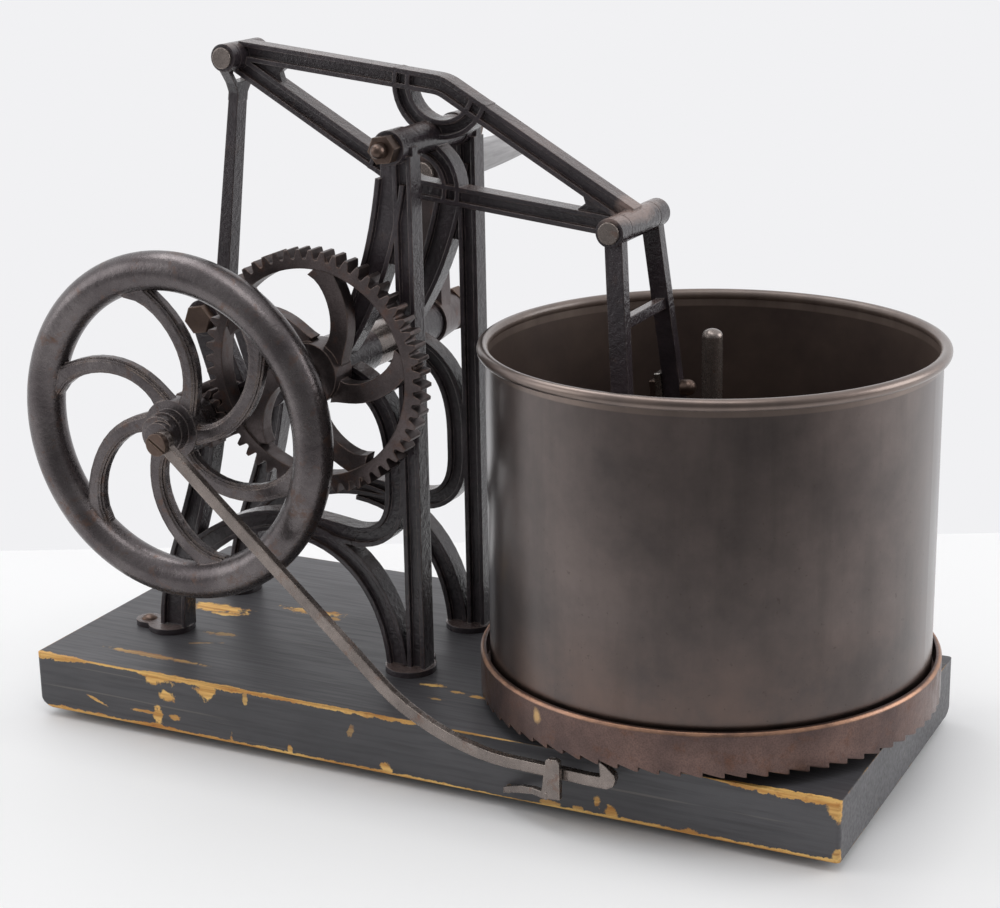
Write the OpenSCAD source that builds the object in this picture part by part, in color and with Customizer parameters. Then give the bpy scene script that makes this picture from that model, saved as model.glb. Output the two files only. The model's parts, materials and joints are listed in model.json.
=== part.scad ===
// Hand-cranked meat chopper: a walking beam drives a knife into a turning drum.
// Units are millimetres. +X runs from the flywheel to the drum, +Y away from
// the viewer, +Z up. The origin is on the floor under the middle of the board.
// The pose is the photographed one: knife nearly down, connecting rod nearly up.

/* [Board] */
// Length of the wooden board
board_l = 418; // [400:1:440]
// Width of the board
board_w = 177; // [165:1:185]
// Thickness of the board
board_t = 28.5; // [22:0.5:36]
// Radius of the board's corners
board_corner_r = 2; // [1:0.5:12]
// Rounding worn under the board's left end and back
board_worn_r = 8; // [4:0.5:12]
// Height of the button feet
foot_h = 5; // [3:0.5:9]
// Radius of the button feet
foot_r = 9; // [6:0.5:12]
// Distance from the board's ends to the feet
foot_inset_x = 52; // [20:1:70]
// Distance from the board's sides to the feet
foot_inset_y = 16; // [14:1:30]

/* [Drum] */
// Place of the drum's axis along the board
drum_x = 115.9; // [112:0.1:120]
// Outer radius of the tin drum
drum_r = 102.6; // [98:0.1:104]
// Thickness of the tin
drum_wall = 0.9; // [0.6:0.1:1.5]
// Depth of the drum from rim to wooden bottom
drum_depth = 139; // [120:1:150]
// Radius of the rolled bead at the rim
bead_r = 2.7; // [1.8:0.1:3.2]
// Thickness of the drum's wooden bottom
bottom_t = 16; // [12:1:20]

/* [Ratchet ring] */
// Number of saw teeth
ratchet_teeth = 72; // [60:1:76]
// Height of the saw teeth
ratchet_tooth_h = 2.2; // [1.8:0.1:4]
// Height of the ring's band above the teeth
ring_band_h = 18; // [11:0.2:20]
// Thickness of the band
ring_t = 2.6; // [2:0.1:3.5]
// Gap between the band and the tin
ring_gap = 1.9; // [1.5:0.1:3]
// Height of the teeth above the board
ring_lift = 5.7; // [5:0.1:10]
// Width of the flange under the wooden bottom
ring_flange_w = 27; // [20:1:34]
// Thickness of that flange
ring_flange_t = 3; // [2:0.5:4]

/* [Centre post] */
// Radius of the post
post_r = 4.7; // [4:0.1:5.4]
// Radius of the journal the drum turns on
journal_r = 6; // [5.6:0.1:7]
// Radius of the post's foot flange
post_flange_r = 27; // [22:1:32]
// Height of the post above the rim
post_over_rim = 4.5; // [2:0.5:8]

/* [Side frames] */
// Distance from the middle plane to a frame's middle
frame_y = 32; // [31:0.5:35]
// Thickness of a frame across its ribs
frame_t = 10; // [8:0.5:11]
// Thickness of the web between the ribs
frame_web = 5; // [4:0.5:6]
// Width of a rib
rib_w = 2.2; // [1.8:0.1:2.8]
// Width of the frame's bars
bar_w = 9.5; // [8.5:0.5:11]
// Place of the upright along the board
upright_x = -20.8; // [-22:0.2:-19]
// Length of the bearing boss behind each frame
long_boss = 25; // [20:1:25]
// Outer radius of the main shaft's boss
main_boss_r = 11; // [9.5:0.5:12]
// Outer radius of the flywheel shaft's boss
fly_boss_r = 11; // [9.5:0.5:12]
// Thickness of the foot pads
pad_t = 3; // [2:0.5:4]

/* [Walking beam] */
// Place of the beam's pivot along the board
pivot_x = -25; // [-26:0.5:-24]
// Height of the beam's pivot
pivot_z = 289; // [286:1:294]
// Length of each arm of the beam
beam_arm = 108; // [106:0.5:110]
// Tilt of the beam as photographed
beam_tilt = 18.35; // [17.5:0.05:19]
// Height of the beam's top and bottom corners over its middle line
beam_rise = 25.5; // [23:0.5:28]
// Thickness of the beam across its ribs
beam_t = 10; // [8:0.5:11]
// Thickness of the beam's web
beam_web = 4.5; // [3.5:0.5:6]
// Width of the beam's bars
beam_bar_w = 9; // [8:0.5:10]
// Inner radius of the two arcs beside the pivot
beam_arc_r = 16; // [14:0.5:17]
// Radius of the beam's end bosses
end_boss_r = 6.6; // [6:0.1:7.5]
// Radius of the pins in the beam's ends
end_pin_r = 3.6; // [3:0.1:4]
// Radius of the pivot bolt
pivot_bolt_r = 3.4; // [3:0.1:4]
// Radius of the bend at the beam's top and bottom corners
beam_bend_r = 18; // [12:1:24]

/* [Connecting rod] */
// Width of the rod below its fork
rod_w_top = 5; // [4:0.2:6]
// Width of the rod near its lower eye
rod_w_low = 7.6; // [6.5:0.1:9]
// Thickness of the rod
rod_t = 8.6; // [7:0.2:10]

/* [Gears and shafts] */
// Place of the main shaft along the board
main_x = -64.3; // [-65.5:0.1:-63]
// Height of the main shaft
main_z = 183.2; // [181:0.1:186]
// Radius of both shafts
shaft_r = 5.5; // [5:0.1:6]
// Size of the gear teeth
gear_module = 2.025; // [1.95:0.005:2.1]
// Teeth on the large gear
gear_teeth = 56; // [52:4:56]
// Teeth on the pinion
pinion_teeth = 14; // [13:1:15]
// Direction from the large gear to the pinion
mesh_angle = 203.85; // [202:0.05:206]
// Width of the gear's face
gear_w = 10; // [8:0.5:11]
// Thickness of the gear's rim under its teeth
gear_rim_t = 4.8; // [4:0.2:7]
// Width of the gear's spokes
gear_spoke_w = 9.2; // [8:0.2:12]
// Turn of a gear spoke between hub and rim
gear_sweep = 46; // [36:1:54]
// Number of the gear's spokes
gear_spokes = 5; // [4:1:6]

/* [Flywheel] */
// Radius of the flywheel to the middle of its rim
fly_r = 76; // [72:0.5:78]
// Radius of the rim's round section
fly_rim_r = 9.4; // [8:0.2:10]
// Distance of the flywheel in front of the middle plane
fly_y = 70; // [69:0.5:71]
// Number of spokes
fly_spokes = 6; // [5:1:7]
// Width of a spoke
fly_spoke_w = 8; // [7:0.2:10]
// Thickness of a spoke
fly_spoke_t = 8; // [6:0.5:9]
// Turn of a spoke between hub and rim
fly_sweep = 58; // [45:1:65]
// Radius of the flywheel's hub
fly_hub_r = 11.5; // [10:0.5:13]

/* [Crank and pawl] */
// Throw of the crank that works the beam
crank_throw = 44.1; // [43:0.1:45]
// Direction of the crank as photographed
crank_angle = 110.3; // [108:0.1:112]
// Thickness of a crank cheek
cheek_t = 8; // [6:0.5:9]
// Radius of the crank pin
crank_pin_r = 5; // [4:0.1:6]
// Throw of the small eccentric that works the pawl
ecc_throw = 6.3; // [5:0.1:6.5]
// Direction of that eccentric as photographed
ecc_angle = -10; // [-14:1:-6]
// Height of the pawl's bar
pawl_h = 5; // [4:0.2:6]
// Thickness of the pawl's bar
pawl_t = 4; // [3:0.2:4.4]

/* [Hand crank] */
// Throw of the hand crank
hand_throw = 75.8; // [70:0.2:82]
// Lean of the hand crank as photographed
hand_lean = 0.7; // [-2:0.1:2]
// Thickness of its arm
hand_arm_t = 10; // [8:0.5:11]
// Length of the grip
grip_l = 99; // [85:1:105]
// Greatest radius of the grip
grip_r = 8.8; // [8:0.2:10]
// Radius of the grip's spindle
spindle_r = 3.8; // [3:0.1:4.2]

/* [Knife] */
// Lean of the knife fork as photographed
fork_lean = 5.4; // [4.5:0.1:6.5]
// Width of a fork leg
leg_w = 8.4; // [7:0.2:10]
// Thickness of a fork leg
leg_t = 6.2; // [5:0.2:7]
// Outward slope of a fork leg
leg_splay = 6.6; // [5.5:0.1:7.5]
// Length of a fork leg below its pin
leg_l = 104; // [102:1:108]
// Distance of a fork leg from the middle plane at its pin
leg_top_y = 20.8; // [20:0.2:22]
// Width of the blade
blade_w = 168; // [150:1:174]
// Height of the blade below its tangs
blade_h = 54; // [44:1:60]
// Thickness of the blade
blade_t = 3; // [2:0.2:4]
// Gap between the photographed blade and the drum's bottom
blade_gap = 5; // [4.5:0.1:8]

/* [Fits] */
// Radial clearance of a running shaft
run_fit = 0.05; // [0.03:0.01:0.1]
// Radial clearance of a fixed pin or shaft
fix_fit = 0.03; // [0.02:0.01:0.05]
// Gap between faces that pass each other
face_gap = 0.3; // [0.2:0.05:0.4]

/* [Hidden] */
$fn = 64;
curve_steps = 14;
flank_steps = 3;
board_top = foot_h + board_t;
board_front = -board_w / 2;
teeth_z = board_top + ring_lift;
band_z = teeth_z + ratchet_tooth_h;
ring_top = band_z + ring_band_h;
flange_up = 5.5;
flange_z = band_z + flange_up;
wood_z = flange_z + ring_flange_t;
floor_z = wood_z + bottom_t;
rim_z = floor_z + drum_depth;
post_top = rim_z + post_over_rim;
ring_in_r = drum_r + ring_gap;
ring_out_r = ring_in_r + ring_t;
ratchet_pitch = 2 * PI * ring_out_r / ratchet_teeth;
gear_r = gear_module * gear_teeth / 2;
pinion_r = gear_module * pinion_teeth / 2;
centres = gear_r + pinion_r;
main_c = [main_x, main_z];
fly_c = main_c + centres * [cos(mesh_angle), sin(mesh_angle)];
pivot_c = [pivot_x, pivot_z];
crank_c = fly_c + crank_throw * [cos(crank_angle), sin(crank_angle)];
ecc_c = fly_c + ecc_throw * [cos(ecc_angle), sin(ecc_angle)];
beam_left = pivot_c + beam_arm * [-cos(beam_tilt), sin(beam_tilt)];
beam_right = pivot_c + beam_arm * [cos(beam_tilt), -sin(beam_tilt)];
grip_c = main_c + hand_throw * [sin(hand_lean), cos(hand_lean)];
inner_face = frame_y - frame_t / 2;
outer_face = frame_y + frame_t / 2;
boss_proud = 1.5;
gear_back = -outer_face - boss_proud - 2.5;
gear_front = gear_back - gear_w;
long_end = outer_face + long_boss;
fork_eye_in = 17;
fork_eye_w = 10.7;
rod_eye_in = 10;
rod_eye_w = 5.6;
rod_l = norm(beam_left - crank_c);
rod_lean = atan2(beam_left.x - crank_c.x, beam_left.y - crank_c.y);
cheek_in = 12;
cheek_out = cheek_in + cheek_t;
ecc_t = 8.4;
hub_front = -fly_y - fly_rim_r - 0.6;
ecc_front = hub_front - ecc_t;
pawl_y = ecc_front - face_gap - pawl_t / 2;
leg_reach = (beam_right.y - floor_z - blade_gap) / cos(fork_lean);
screw_r = 2.2;
head_r = 4.2;
head_h = 2.2;

// Curves and ribbons in the X-Z plane
function arc_points(c, r, a0, a1, n = curve_steps) =
    [for (i = [0:n]) c + r * [cos(a0 + (a1 - a0) * i / n), sin(a0 + (a1 - a0) * i / n)]];
function bezier(p, t) =
    pow(1 - t, 3) * p[0] + 3 * t * pow(1 - t, 2) * p[1] + 3 * t * t * (1 - t) * p[2] + pow(t, 3) * p[3];
function curve(p, n = curve_steps) = [for (i = [0:n]) bezier(p, i / n)];
function heading(path, i) =
    let (a = path[max(i - 1, 0)], b = path[min(i + 1, len(path) - 1)]) (b - a) / norm(b - a);
function side(path, d0, d1) =
    [for (i = [0:len(path) - 1])
        let (h = heading(path, i), d = d0 + (d1 - d0) * i / (len(path) - 1)) path[i] + d * [-h.y, h.x]];
function turned(path) = [for (i = [len(path) - 1:-1:0]) path[i]];
function ribbon(path, w0, w1) = concat(side(path, w0 / 2, w1 / 2), turned(side(path, -w0 / 2, -w1 / 2)));
function edge_ribbon(path, w0, w1, s) =
    let (a = side(path, s * w0 / 2, s * w1 / 2), b = side(path, s * (w0 / 2 - rib_w), s * (w1 / 2 - rib_w)))
    concat(a, turned(b));
function spiral(r0, r1, sweep, bend) =
    [for (i = [0:curve_steps]) let (t = i / curve_steps, a = -sweep * pow(1 - t, bend))
        (r0 + (r1 - r0) * t) * [cos(a), sin(a)]];
function flared_side(path, w, flare, s) =
    [for (i = [0:curve_steps])
        let (h = heading(path, i), d = s * (w / 2 + flare * pow(2 * i / curve_steps - 1, 6)))
            path[i] + d * [-h.y, h.x]];
function flared(path, w, flare) = concat(flared_side(path, w, flare, 1),
    turned(flared_side(path, w, flare, -1)));

// Solids whose length runs along Y
module slab(y0, y1) {
    translate([0, y1, 0]) rotate([90, 0, 0]) linear_extrude(height = y1 - y0) children();
}
module bar_y(c, r, y0, y1) {
    translate([c.x, y1, c.y]) rotate([90, 0, 0]) cylinder(r = r, h = y1 - y0);
}
module taper_y(c, r0, r1, y0, y1) {
    translate([c.x, y0, c.y]) rotate([-90, 0, 0]) cylinder(r1 = r0, r2 = r1, h = y1 - y0);
}
module hex_y(c, across, y0, y1, turn = 0) {
    translate([c.x, y1, c.y]) rotate([90, 0, 0]) rotate([0, 0, turn])
        cylinder(r = across / sqrt(3), h = y1 - y0, $fn = 6);
}
module round_screw(l) {
    translate([0, 0, -l]) cylinder(r = screw_r, h = l);
    intersection() {
        translate([0, 0, -(head_r * head_r - head_h * head_h) / (2 * head_h)])
            sphere(r = (head_r * head_r + head_h * head_h) / (2 * head_h));
        cylinder(r = head_r, h = head_h);
    }
}

// Board and feet
module rounded_rect(l, w, r) {
    square([l - 2 * r, w], center = true);
    square([l, w - 2 * r], center = true);
    for (x = [-1, 1], y = [-1, 1]) translate([x * (l / 2 - r), y * (w / 2 - r)]) circle(r = r);
}
foot_x = board_l / 2 - foot_inset_x;
foot_y = board_w / 2 - foot_inset_y;
pad_right_x = upright_x - 5.5;
pad_left_x = -166;
pad_right_r = 12.5;
pad_left_r = 12;
left_screw_x = pad_left_x - 14;
right_screw_dy = 12;
screw_l = 18;
post_screw_r = 19;
post_screws_n = 3;
module screw_holes(l) {
    for (s = [-1, 1]) {
        translate([left_screw_x, s * frame_y, board_top - l]) cylinder(r = screw_r + fix_fit, h = l + 1);
        translate([pad_right_x, s * frame_y + right_screw_dy, board_top - l])
            cylinder(r = screw_r + fix_fit, h = l + 1);
    }
    for (i = [0:post_screws_n - 1]) translate([drum_x, 0, board_top - l])
        rotate([0, 0, 60 + i * 360 / post_screws_n])
        translate([post_screw_r, 0, 0]) cylinder(r = screw_r + fix_fit, h = l + 1);
    bar_y(guide_tip, guide_tang_r + fix_fit, board_front - 1, board_front + guide_tang_l + 0.5);
}
worn_edge = [[-4, -4], [board_worn_r + 3.5, -1], board_worn_r * [0.58, 0.09], board_worn_r * [0.3, 0.28],
    board_worn_r * [0.1, 0.55], [-1, board_worn_r + 3.5]];
module base_board() {
    color("#2b2a28") difference() {
        translate([0, 0, foot_h]) linear_extrude(height = board_t)
            rounded_rect(board_l, board_w, board_corner_r);
        translate([-board_l / 2, board_w, foot_h]) rotate([90, 0, 0]) linear_extrude(height = 2 * board_w)
            polygon(worn_edge);
        translate([-board_l, board_w / 2, foot_h]) mirror([0, 1, 0]) rotate([90, 0, 90])
            linear_extrude(height = 2 * board_l) polygon(worn_edge);
        screw_holes(screw_l + 0.5);
    }
}
module base_feet() {
    color("#1d1a17") for (x = [-1, 1], y = [-1, 1]) translate([x * foot_x, y * foot_y, 0])
        rotate_extrude() polygon([[0, 0], [foot_r * 0.7, 0], [foot_r, foot_h * 0.45], [foot_r, foot_h],
            [0, foot_h]]);
}

// One frame casting, in its own middle plane; both sides use it
frame_drawn_h = 255.5;
frame_unit = (pivot_z - board_top) / frame_drawn_h;
foot_c = [upright_x, board_top];
left_c = [pad_left_x, board_top];
function off(c, dx, dz) = c + frame_unit * [dx, dz];
top_leg = curve([off(pivot_c, -2, -16), off(pivot_c, -8, -54), off(main_c, 19, 22.8), main_c]);
ring_right = concat(
    curve([off(main_c, 6, -2), off(main_c, 23, -6.2), off(foot_c, -9, 132.5), off(foot_c, -8.6, 104.5)]),
    curve([off(foot_c, -8.6, 92.5), off(foot_c, -8.6, 74.5), off(foot_c, -16, 65.5), off(foot_c, -33, 66)]));
arch_left = curve([off(foot_c, -33, 66), off(foot_c, -66, 70.5), off(left_c, 54, 74.5),
    off(left_c, 19, 44.5)]);
arch_right = curve([[pad_right_x - 5, board_top + pad_t], off(foot_c, -13.5, 38.5), off(foot_c, -34, 63.5),
    off(foot_c, -67.2, 66)]);
left_leg = curve([[pad_left_x + 4, board_top + pad_t], off(left_c, 4, 36.5), off(left_c, 24, 62.5),
    off(fly_c, -4, -4)]);
cross_bar = curve([fly_c, off(fly_c, 22, 14), off(main_c, -24, -7), main_c]);
upright = [[upright_x, board_top + pad_t], [upright_x, pivot_z - 4]];
wide_bar = 15 * frame_unit;
mid_bar = 11 * frame_unit;
frame_bars = [[upright, bar_w, bar_w], [top_leg, wide_bar, mid_bar], [ring_right, mid_bar, bar_w],
    [arch_left, bar_w, mid_bar], [arch_right, mid_bar, bar_w], [left_leg, wide_bar, bar_w],
        [cross_bar, mid_bar, mid_bar]];
head_boss_r = 8;
head_boss_front = 4;
head_plate = [[upright_x + bar_w / 2, pivot_z], [upright_x + bar_w / 2, off(pivot_c, 0, -58).y],
    [upright_x - 2, off(pivot_c, 0, -58).y], off(pivot_c, -0.4, -55.4), off(pivot_c, -3.2, -54.4),
    off(pivot_c, -5.8, -55.6), off(pivot_c, -14, -58), off(pivot_c, -13.5, -49), off(pivot_c, -8.6, -27),
    off(pivot_c, -7.6, 0)];
module frame_casting() {
    difference() {
        union() {
            slab(-frame_web / 2, frame_web / 2) {
                for (b = frame_bars) polygon(ribbon(b[0], b[1], b[2]));
                polygon(head_plate);
            }
            slab(-frame_t / 2, frame_t / 2)
                for (b = frame_bars, s = [-1, 1]) polygon(edge_ribbon(b[0], b[1], b[2], s));
            bar_y(pivot_c, head_boss_r, -frame_t / 2 - head_boss_front, frame_t / 2);
            bar_y(main_c, main_boss_r + 2.5, -frame_t / 2, frame_t / 2);
            bar_y(main_c, main_boss_r, -frame_t / 2 - boss_proud, frame_t / 2 + long_boss);
            bar_y(fly_c, fly_boss_r, -frame_t / 2 - boss_proud, frame_t / 2 + boss_proud);
            translate([pad_right_x, 0, board_top]) cylinder(r = pad_right_r, h = pad_t);
            translate([pad_right_x, right_screw_dy, board_top]) cylinder(r = head_r + 2.4, h = pad_t);
            translate([pad_left_x, 0, board_top]) cylinder(r = pad_left_r, h = pad_t);
            translate([left_screw_x, 0, board_top]) cylinder(r = head_r + 2.4, h = pad_t);
            translate([left_screw_x, -head_r - 2.4, board_top])
                cube([pad_left_x - left_screw_x, 2 * head_r + 4.8, pad_t]);
        }
        bar_y(pivot_c, pivot_bolt_r + fix_fit, -frame_t, frame_t);
        bar_y(main_c, shaft_r + run_fit, -frame_t, frame_t + long_boss);
        bar_y(fly_c, shaft_r + run_fit, -frame_t, frame_t);
        translate([left_screw_x, 0, board_top - 1]) cylinder(r = screw_r + fix_fit, h = pad_t + 2);
        translate([pad_right_x, right_screw_dy, board_top - 1])
            cylinder(r = screw_r + fix_fit, h = pad_t + 2);
    }
}
module near_frame() { color("#1b1a1c") translate([0, -frame_y, 0]) frame_casting(); }
module far_frame() { color("#1b1a1c") translate([0, frame_y, 0]) frame_casting(); }
module frame_screws() {
    color("#2a2521") for (s = [-1, 1]) {
        translate([left_screw_x, s * frame_y, board_top + pad_t]) round_screw(screw_l);
        translate([pad_right_x, s * frame_y + right_screw_dy, board_top + pad_t]) round_screw(screw_l);
    }
}
nut_across = 12;
nut_t = 6.5;
bolt_tail = 3;
bolt_near = -outer_face - head_boss_front - nut_t - bolt_tail;
module pivot_bolt() {
    color("#5a4a3a") union() {
        bar_y(pivot_c, pivot_bolt_r, bolt_near, outer_face + 1);
        translate([pivot_c.x, bolt_near, pivot_c.y]) sphere(r = pivot_bolt_r);
        hex_y(pivot_c, nut_across, outer_face + 0.02, outer_face + nut_t, 15);
    }
}
module pivot_nut() {
    color("#5a4a3a") difference() {
        hex_y(pivot_c, nut_across, -outer_face - head_boss_front - nut_t,
            -outer_face - head_boss_front - 0.02, 8);
        bar_y(pivot_c, pivot_bolt_r + fix_fit, 2 * bolt_near, 0);
    }
}

// Fixed post on which the drum turns
shoulder_z = flange_z - face_gap;
journal_top = floor_z + 6;
module centre_post() {
    color("#4b463f") translate([drum_x, 0, 0]) difference() {
        rotate_extrude() polygon(concat([[0, board_top], [post_flange_r, board_top],
            [post_flange_r, board_top + 3],
            [journal_r + 6, board_top + 4.5], [journal_r + 4, shoulder_z], [journal_r, shoulder_z],
            [journal_r, journal_top], [post_r, journal_top + 3]],
            [for (a = [0:15:90]) [post_r * cos(a), post_top - post_r * 0.7 + post_r * 0.7 * sin(a)]]));
        for (i = [0:post_screws_n - 1]) rotate([0, 0, 60 + i * 360 / post_screws_n])
            translate([post_screw_r, 0, board_top - 1]) cylinder(r = screw_r + fix_fit, h = 10);
    }
}
module post_screws() {
    color("#3a332c") for (i = [0:post_screws_n - 1]) translate([drum_x, 0, 0])
        rotate([0, 0, 60 + i * 360 / post_screws_n]) translate([post_screw_r, 0, board_top + post_seat_z])
            round_screw(screw_l);
}
post_seat_z = 3 + 1.5 * (post_flange_r - post_screw_r + head_r) / (post_flange_r - journal_r - 6) + 0.05;

// Drum: tin shell, wooden bottom, iron ring and hub
tin_low = wood_z + 0.3;
module drum_shell() {
    color("#4a4540") translate([drum_x, 0, 0]) rotate_extrude($fn = 96) {
        translate([drum_r - drum_wall, tin_low]) square([drum_wall, rim_z - bead_r - tin_low]);
        translate([drum_r + bead_r * 0.35, rim_z - bead_r]) circle(r = bead_r, $fn = 32);
    }
}
module drum_bottom() {
    color("#6d5a42") translate([drum_x, 0, 0]) difference() {
        translate([0, 0, wood_z]) cylinder(r = drum_r - drum_wall - fix_fit, h = bottom_t);
        translate([0, 0, wood_z - 1]) cylinder(r = hub_r + fix_fit, h = bottom_t + 2);
        ring_screw_holes();
    }
}
ring_screw_n = 6;
ring_screw_r = drum_r - 14;
module ring_screw_holes() {
    for (i = [0:ring_screw_n - 1]) rotate([0, 0, 15 + i * 360 / ring_screw_n])
        translate([ring_screw_r, 0, flange_z - 1]) cylinder(r = screw_r + fix_fit, h = screw_l);
}
module ring_screws() {
    color("#3b3028") translate([drum_x, 0, 0]) for (i = [0:ring_screw_n - 1])
        rotate([0, 0, 15 + i * 360 / ring_screw_n])
        translate([ring_screw_r, 0, flange_z]) mirror([0, 0, 1]) round_screw(screw_l - 3);
}
tooth_gap_w = ratchet_pitch * 0.86;
tooth_phase = 0.91;
module ratchet_ring() {
    color("#6b4630") translate([drum_x, 0, 0]) difference() {
        rotate_extrude($fn = 96) polygon([[ring_out_r - ring_flange_w, flange_z], [ring_in_r, flange_z],
            [ring_in_r, teeth_z], [ring_out_r, teeth_z], [ring_out_r, ring_top - 1.2],
                [ring_out_r - 0.8, ring_top],
            [ring_in_r, ring_top], [ring_in_r, wood_z], [ring_out_r - ring_flange_w, wood_z]]);
        for (i = [0:ratchet_teeth - 1]) rotate([0, 0, (i + tooth_phase) * 360 / ratchet_teeth])
            translate([ring_in_r - 1, 0, teeth_z]) rotate([90, 0, 90]) linear_extrude(height = ring_t + 2)
                polygon([[0, -1], [0, ratchet_tooth_h], [tooth_gap_w * (1 + 1 / ratchet_tooth_h), -1]]);
        ring_screw_holes();
    }
}
hub_r = journal_r + 4;
hub_flange_r = 24;
module drum_hub() {
    color("#4b3a30") translate([drum_x, 0, 0]) difference() {
        rotate_extrude() polygon([[journal_r + run_fit, flange_z], [hub_flange_r, flange_z],
            [hub_flange_r, wood_z],
            [hub_r, wood_z], [hub_r, floor_z + 3], [hub_r - 1.5, floor_z + 5],
                [journal_r + run_fit, floor_z + 5]]);
    }
}

// Involute gears
function involute(rb, r) = let (a = acos(min(1, rb / r))) tan(a) * 180 / PI - a;
function half_tooth(m, n, r, slack) =
    let (rp = m * n / 2, rb = rp * cos(20)) 90 / n - slack / rp * 90 / PI + involute(rb, rp)
        - involute(rb, max(r, rb));
function tooth_side(m, n, slack, s) =
    let (rp = m * n / 2, rb = rp * cos(20), tip = rp + 0.85 * m, low = max(rb, rp - 1.1 * m))
    [for (i = [0:flank_steps]) let (r = low + (tip - low) * i / flank_steps)
        [r, s * half_tooth(m, n, r, slack)]];
function gear_outline(m, n, slack) =
    let (root = m * n / 2 - 1.3 * m, lower = tooth_side(m, n, slack, -1), upper = tooth_side(m, n, slack, 1))
    [for (k = [0:n - 1], p = concat([[root, lower[0].y - 0.6]], lower, turned(upper),
        [[root, upper[0].y + 0.6]]))
        p.x * [cos(p.y + k * 360 / n), sin(p.y + k * 360 / n)]];
tooth_slack = 0.22;
gear_hub_r = 15;
gear_root_in = gear_r - 1.15 * gear_module - gear_rim_t;
gear_flare = 2.2;
gear_spoke = spiral(gear_hub_r - 2, gear_root_in + 1.6, gear_sweep, 1);
gear_spoke_turn = 12.7;
module large_gear() {
    color("#5e4637") difference() {
        union() {
            difference() {
                slab(gear_front, gear_back) translate(main_c) rotate([0, 0, mesh_angle])
                    polygon(gear_outline(gear_module, gear_teeth, tooth_slack));
                bar_y(main_c, gear_root_in, gear_front - 1, gear_back + 1);
            }
            slab(gear_front + 1.2, gear_back - 1.2) translate(main_c) for (i = [0:gear_spokes - 1])
                rotate([0, 0, gear_spoke_turn + i * 360 / gear_spokes])
                    polygon(flared(gear_spoke, gear_spoke_w, gear_flare));
            bar_y(main_c, gear_hub_r, gear_front - 3, -outer_face - boss_proud - face_gap);
        }
        bar_y(main_c, shaft_r + fix_fit, gear_front - 4, 0);
        pin_z(main_c, gear_front - 1, gear_pin_r + fix_fit, gear_hub_r + 1);
    }
}
gear_pin_r = 1.6;
module pin_z(c, y, r, reach) { translate([c.x, y, c.y - reach]) cylinder(r = r, h = 2 * reach, $fn = 24); }
main_near = gear_front - 4.5;
hand_hub_in = long_end + face_gap;
hand_hub_l = 26;
hand_hub_out = hand_hub_in + hand_hub_l;
hand_nut_t = 8;
main_far = hand_hub_out + hand_nut_t + 1.5;
module main_shaft() {
    color("#6a5646") difference() {
        union() {
            bar_y(main_c, shaft_r, main_near, main_far);
            bar_y(main_c, main_boss_r - 0.6, -inner_face + long_boss + face_gap,
                inner_face - boss_proud - face_gap);
        }
        pin_z(main_c, gear_front - 1, gear_pin_r + fix_fit, gear_hub_r + 1);
    }
}
module gear_pin() { color("#4a3c31") pin_z(main_c, gear_front - 1, gear_pin_r, gear_hub_r - 0.2); }

// Hand crank on the far side
hand_arm_in = hand_hub_in + 2;
hand_arm_out = hand_arm_in + hand_arm_t;
grip_in = hand_arm_out + 2 + face_gap;
grip_out = grip_in + grip_l;
hand_boss_r = 9.5;
hand_hub_r = 11.5;
module hand_crank() {
    color("#5c4c40") difference() {
        union() {
            taper_y(main_c, hand_hub_r + 1, hand_hub_r - 1.5, hand_hub_in, hand_hub_out);
            slab(hand_arm_in, hand_arm_out) polygon([main_c + [-9, 0], main_c + [9, 0], grip_c + [6.5, 0],
                grip_c + [-6.5, 0]]);
            bar_y(grip_c, hand_boss_r, hand_arm_in - 1, hand_arm_out + 2);
        }
        bar_y(main_c, shaft_r + fix_fit, 0, 200);
        bar_y(grip_c, spindle_r + fix_fit, 0, 200);
    }
}
module crank_nut() {
    color("#6a5a4c") difference() {
        hex_y(main_c, 21, hand_hub_out + 0.02, hand_hub_out + hand_nut_t, 20);
        bar_y(main_c, shaft_r + fix_fit, 0, 200);
    }
}
module grip_spindle() {
    color("#5c4c40") union() {
        bar_y(grip_c, spindle_r, hand_arm_in - 2, grip_out + face_gap + 1);
        bar_y(grip_c, spindle_r + 2.4, hand_arm_in - 4, hand_arm_in - 1.02);
        bar_y(grip_c, spindle_r + 2, grip_out + face_gap, grip_out + face_gap + 2.6);
    }
}
module handle_grip() {
    color("#8d8b88") translate([grip_c.x, grip_in, grip_c.y]) rotate([-90, 0, 0]) rotate_extrude()
        polygon(concat([[spindle_r + run_fit, 0], [grip_r - 2.2, 0]],
            [for (t = [0.06:0.094:1]) [grip_r - 1.9 * pow(t - 0.3, 2) * 2.6, grip_l * t - 1.5]],
            [[grip_r - 3.4, grip_l], [spindle_r + run_fit, grip_l]]));
}

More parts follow.
